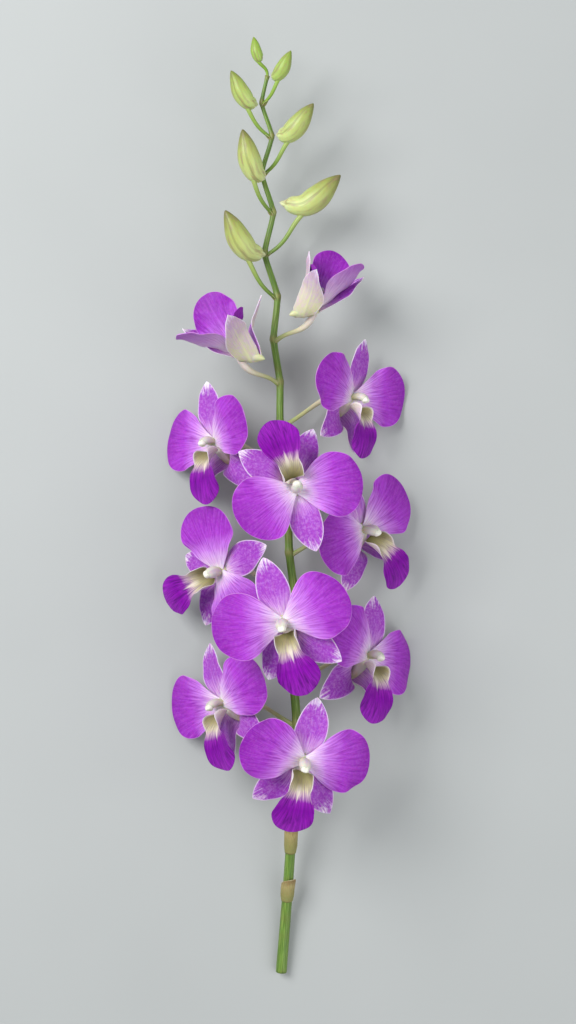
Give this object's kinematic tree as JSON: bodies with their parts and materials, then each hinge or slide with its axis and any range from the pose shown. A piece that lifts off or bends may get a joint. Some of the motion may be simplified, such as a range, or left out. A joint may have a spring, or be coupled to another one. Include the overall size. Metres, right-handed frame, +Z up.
{
  "type": "cut orchid stem",
  "caption": "Cut dendrobium orchid stem lying on a surface: a zigzag green stem with open purple flowers, half-open flowers and pointed green buds, for a vase or display.",
  "frame": {"origin": "centre of the bounding box, on the surface that the stem lies on", "axes": "+Y along the stem from its cut end to its last bud, +Z up from the surface, +X to the right"},
  "size_m": [0.1237, 0.4624, 0.0723],
  "materials": {
    "stem": "smooth, waxy, leaf green",
    "sheath": "dry, papery, straw-coloured",
    "stalk": "smooth, cream flushed with brown and green",
    "tepals": "soft satin, violet with pale bases and edges",
    "lip": "velvety, deep purple with a cream throat",
    "column": "waxy, cream white",
    "bud": "waxy, yellow-green with dull purple veins"
  },
  "bodies": {
    "root": {"stem": "stem", "sheath_1": "sheath", "sheath_2": "sheath", "sheath_3": "sheath", "flower_01_tepals": "tepals", "flower_01_lip": "lip", "flower_01_column": "column", "flower_01_stalk": "stalk", "flower_02_tepals": "tepals", "flower_02_lip": "lip", "flower_02_column": "column", "flower_02_stalk": "stalk", "flower_03_tepals": "tepals", "flower_03_lip": "lip", "flower_03_column": "column", "flower_03_stalk": "stalk", "flower_04_tepals": "tepals", "flower_04_lip": "lip", "flower_04_column": "column", "flower_04_stalk": "stalk", "flower_05_tepals": "tepals", "flower_05_lip": "lip", "flower_05_column": "column", "flower_05_stalk": "stalk", "flower_06_tepals": "tepals", "flower_06_lip": "lip", "flower_06_column": "column", "flower_06_stalk": "stalk", "flower_07_tepals": "tepals", "flower_07_lip": "lip", "flower_07_column": "column", "flower_07_stalk": "stalk", "flower_08_tepals": "tepals", "flower_08_lip": "lip", "flower_08_column": "column", "flower_08_stalk": "stalk", "flower_09_tepals": "tepals", "flower_09_lip": "lip", "flower_09_column": "column", "flower_09_stalk": "stalk", "flower_10_tepals": "tepals", "flower_10_lip": "lip", "flower_10_column": "column", "flower_10_stalk": "stalk", "flower_11_tepals": "tepals", "flower_11_lip": "lip", "flower_11_column": "column", "flower_11_stalk": "stalk", "bud_01": "bud", "bud_02": "bud", "bud_03": "bud", "bud_04": "bud", "bud_05": "bud", "bud_06": "bud", "bud_07": "bud"}
  },
  "joints": []
}
